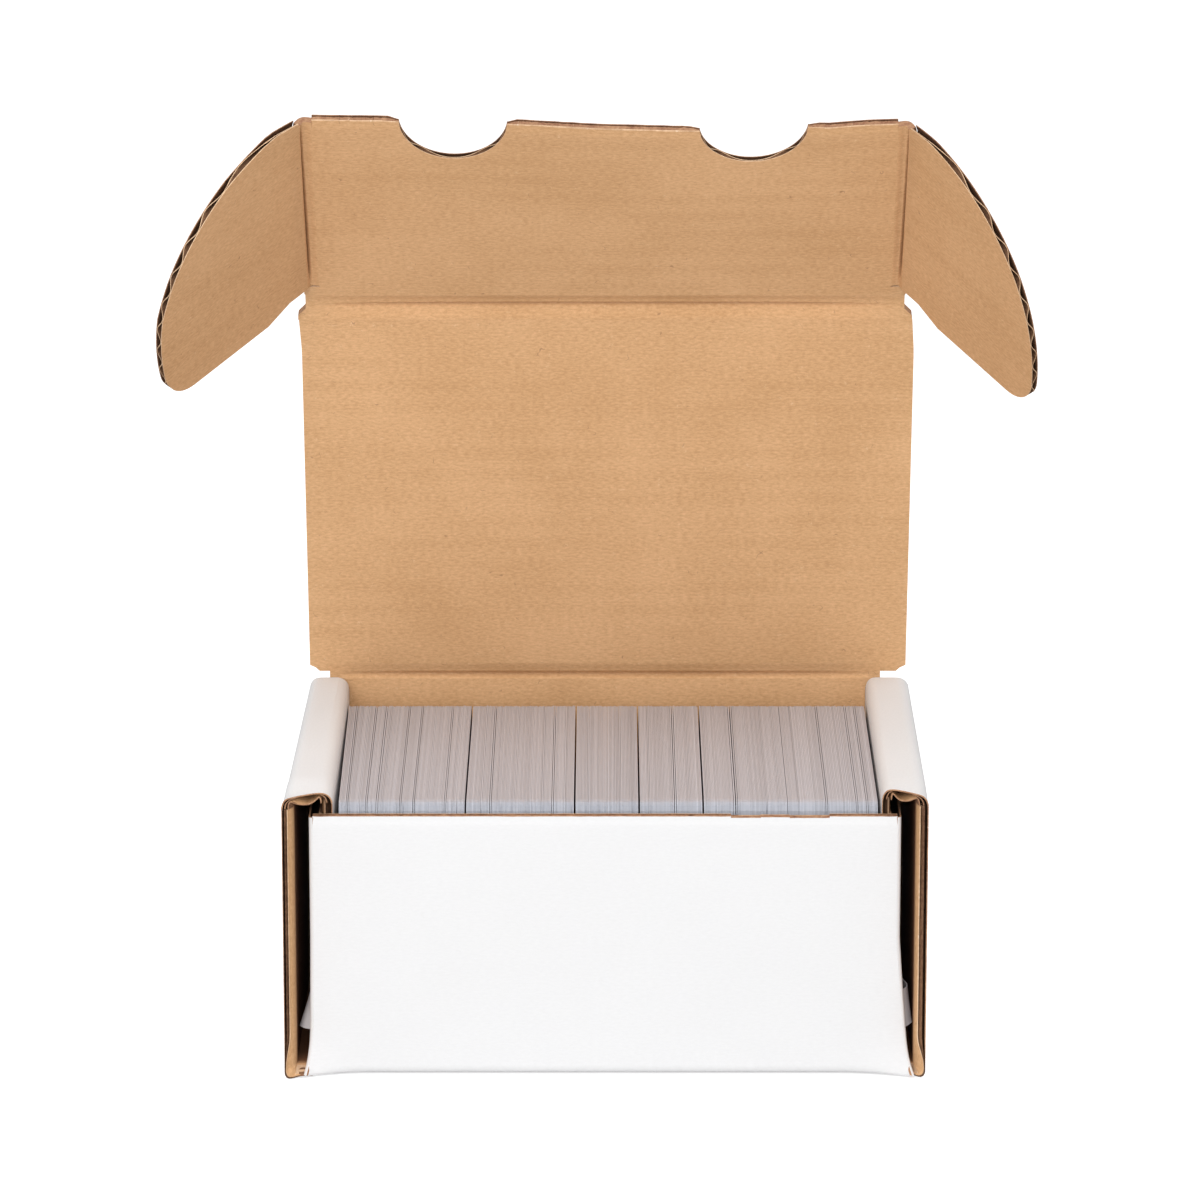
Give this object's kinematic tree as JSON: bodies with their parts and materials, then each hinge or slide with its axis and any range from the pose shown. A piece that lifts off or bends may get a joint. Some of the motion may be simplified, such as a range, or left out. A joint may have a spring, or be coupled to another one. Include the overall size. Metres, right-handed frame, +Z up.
{
  "type": "corrugated card storage box",
  "caption": "Folded corrugated mailer box with double side walls, a hinged lid, a tuck flap with two curved ears and thumb notches, filled with packs of small cards.",
  "frame": {"origin": "on the table, under the middle of the tray", "axes": "X along the row of cards, Y from the open front to the hinged back, Z up"},
  "size_m": [0.2114, 0.1077, 0.2268],
  "materials": {
    "white_faced_board": "matt white liner outside, kraft liner inside",
    "kraft_faced_board": "matt uncoated kraft liner inside, white liner outside",
    "card_stock": "cut edges of coated card"
  },
  "bodies": {
    "tray": {"bottom_panel": "white_faced_board", "front_panel": "white_faced_board", "back_panel": "white_faced_board", "left_outer_wall": "white_faced_board", "left_inner_wall": "white_faced_board", "left_roll_strip": "white_faced_board", "left_front_corner_flap": "white_faced_board", "left_rear_corner_flap": "white_faced_board", "right_outer_wall": "white_faced_board", "right_inner_wall": "white_faced_board", "right_roll_strip": "white_faced_board", "right_front_corner_flap": "white_faced_board", "right_rear_corner_flap": "white_faced_board"},
    "lid": {"lid": "kraft_faced_board"},
    "tuck_flap": {"tuck_flap": "kraft_faced_board"},
    "left_ear": {"left_ear": "kraft_faced_board"},
    "right_ear": {"right_ear": "kraft_faced_board"},
    "card_pack_one": {"card_pack_one": "card_stock"},
    "card_pack_two": {"card_pack_two": "card_stock"},
    "card_pack_three": {"card_pack_three": "card_stock"},
    "card_pack_four": {"card_pack_four": "card_stock"},
    "card_pack_five": {"card_pack_five": "card_stock"},
    "card_pack_six": {"card_pack_six": "card_stock"}
  },
  "joints": [
    {"name": "lid_hinge", "type": "hinge", "parent": "tray", "child": "lid", "pos_m": [0, 0.0507, 0.0731], "axis": [-1, 0, 0], "range_deg": [-75.5, 104.5]},
    {"name": "tuck_flap_hinge", "type": "hinge", "parent": "lid", "child": "tuck_flap", "pos_m": [0, 0.02445, 0.17461], "axis": [-1, 0, 0], "range_deg": [-70, 20]},
    {"name": "left_ear_hinge", "type": "hinge", "parent": "tuck_flap", "child": "left_ear", "pos_m": [-0.07225, 0.02445, 0.17461], "axis": [0, 0.5664, -0.8241], "range_deg": [-42, 48]},
    {"name": "right_ear_hinge", "type": "hinge", "parent": "tuck_flap", "child": "right_ear", "pos_m": [0.07225, 0.02445, 0.17461], "axis": [0, -0.5664, 0.8241], "range_deg": [-38, 52]},
    {"name": "card_pack_one_lift", "type": "slide", "parent": "tray", "child": "card_pack_one", "axis": [0, 0, 1], "range_m": [0, 0.032]},
    {"name": "card_pack_two_lift", "type": "slide", "parent": "tray", "child": "card_pack_two", "axis": [0, 0, 1], "range_m": [0, 0.032]},
    {"name": "card_pack_three_lift", "type": "slide", "parent": "tray", "child": "card_pack_three", "axis": [0, 0, 1], "range_m": [0, 0.032]},
    {"name": "card_pack_four_lift", "type": "slide", "parent": "tray", "child": "card_pack_four", "axis": [0, 0, 1], "range_m": [0, 0.032]},
    {"name": "card_pack_five_lift", "type": "slide", "parent": "tray", "child": "card_pack_five", "axis": [0, 0, 1], "range_m": [0, 0.032]},
    {"name": "card_pack_six_lift", "type": "slide", "parent": "tray", "child": "card_pack_six", "axis": [0, 0, 1], "range_m": [0, 0.032]}
  ]
}
